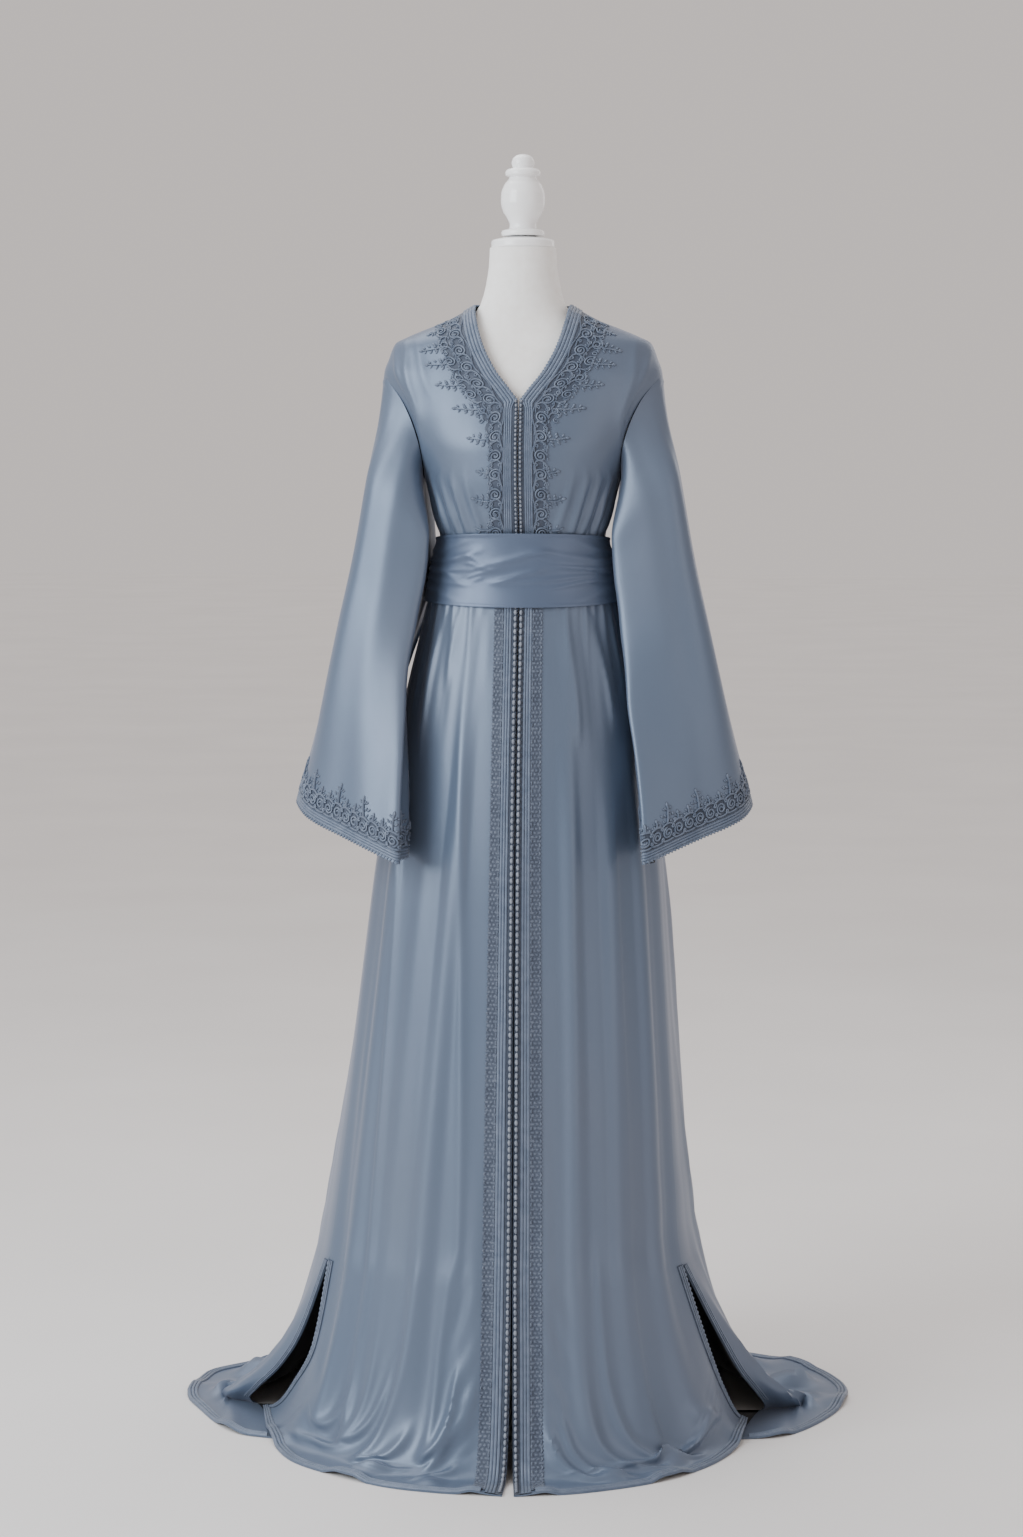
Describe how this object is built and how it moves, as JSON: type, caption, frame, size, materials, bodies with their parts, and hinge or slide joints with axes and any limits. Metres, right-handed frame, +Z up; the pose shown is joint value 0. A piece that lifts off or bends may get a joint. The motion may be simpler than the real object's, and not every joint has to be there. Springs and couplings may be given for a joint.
{
  "type": "kaftan on a dress form",
  "caption": "Long satin kaftan with a wound sash, flared sleeves, braided front opening and floor-length hem, on a limbless dress form.",
  "frame": {"origin": "centre of the form base's underside, on the floor", "axes": "+Z up, -Y towards the garment's front, +X to the viewer's right"},
  "size_m": [0.9781, 0.784, 1.8238],
  "materials": {
    "satin": "satin",
    "braid": "matte",
    "buttons": "satin",
    "jersey": "matte",
    "gloss": "gloss"
  },
  "bodies": {
    "root": {"front_left": "satin", "front_right": "satin", "back": "satin", "sleeve_left": "satin", "sleeve_right": "satin", "sash": "satin", "braid_neck_left": "braid", "braid_neck_right": "braid", "braid_skirt_left": "braid", "braid_skirt_right": "braid", "lace_skirt_left": "braid", "lace_skirt_right": "braid", "embroidery_left": "braid", "embroidery_right": "braid", "cuff_braid_left": "braid", "cuff_braid_right": "braid", "cuff_embroidery_left": "braid", "cuff_embroidery_right": "braid", "hem_trim_front_left": "braid", "hem_trim_front_right": "braid", "hem_trim_back_left": "braid", "hem_trim_back_right": "braid", "slit_trim_back_left": "braid", "slit_trim_back_right": "braid", "button_row_chest_left": "buttons", "button_row_chest_right": "buttons", "button_row_skirt_left": "buttons", "button_row_skirt_right": "buttons", "form_torso": "jersey", "form_neck_cap": "gloss", "form_finial": "gloss", "form_pole": "gloss", "form_base": "gloss"}
  },
  "joints": []
}
